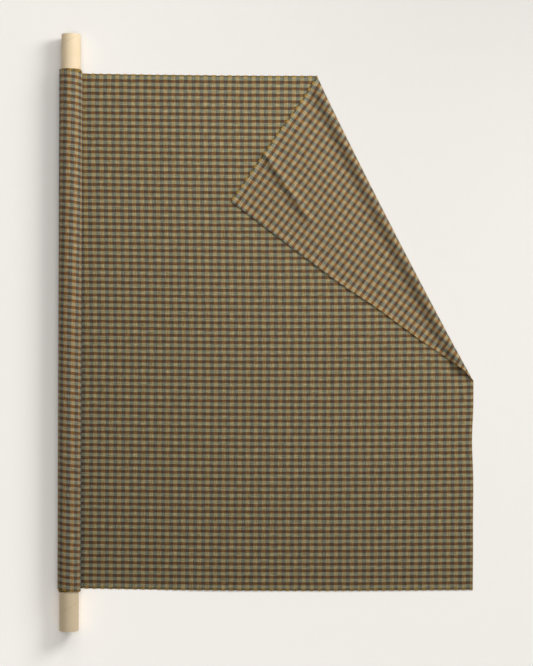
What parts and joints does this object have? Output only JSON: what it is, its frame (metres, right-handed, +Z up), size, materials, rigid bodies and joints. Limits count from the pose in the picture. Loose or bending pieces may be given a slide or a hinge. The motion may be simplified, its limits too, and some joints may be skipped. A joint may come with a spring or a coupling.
{
  "type": "fabric bolt",
  "caption": "Checked furnishing cloth on a paperboard core, partly unrolled flat, with one far corner turned back over itself.",
  "frame": {"origin": "under the middle of the whole bolt, on the surface that it lies on", "axes": "+Y runs along the core, +X from the roll to the cloth's cut end, +Z up"},
  "size_m": [1.1264, 1.61, 0.0627],
  "materials": {
    "paperboard": "matt spiral-wound paperboard",
    "tape": "double-sided cloth tape",
    "cloth": "plain-woven check, right side",
    "cloth_reverse": "plain-woven check, reverse side",
    "selvedge": "woven edge with gold weft loops"
  },
  "bodies": {
    "spread": {"far_selvedge_upper": "selvedge", "far_length": "cloth", "far_selvedge_lower": "selvedge"},
    "corner": {"turned_corner": "cloth_reverse", "corner_selvedge": "selvedge", "fold_bend": "cloth_reverse"},
    "near": {"near_selvedge_upper": "selvedge", "near_length": "cloth", "near_selvedge_lower": "selvedge"},
    "roll": {"core_tube": "paperboard", "starter_tape_1": "tape", "starter_tape_2": "tape", "starter_tape_3": "tape", "wound_selvedge_upper": "selvedge", "wound_cloth": "cloth", "wound_selvedge_lower": "selvedge"}
  },
  "joints": [
    {"name": "corner_fold", "type": "hinge", "parent": "spread", "child": "corner", "pos_m": [0.13507, 0.70417, 0.0027], "axis": [-0.4581, 0.8889, 0], "range_deg": [0, 179.9], "deforming": ["fold_bend"]},
    {"name": "roll_travel", "type": "slide", "parent": "spread", "child": "near", "axis": [1, 0, 0], "range_m": [-0.1962, 0.1962]},
    {"name": "roll_spin", "type": "hinge", "parent": "near", "child": "roll", "pos_m": [-0.53183, 0, 0.03153], "axis": [0, 1, 0], "range_deg": [-359.98, 359.98]}
  ],
  "couplings": [
    {"joint": "roll_spin", "follows": "roll_travel", "rad_per_m": 32.02}
  ]
}
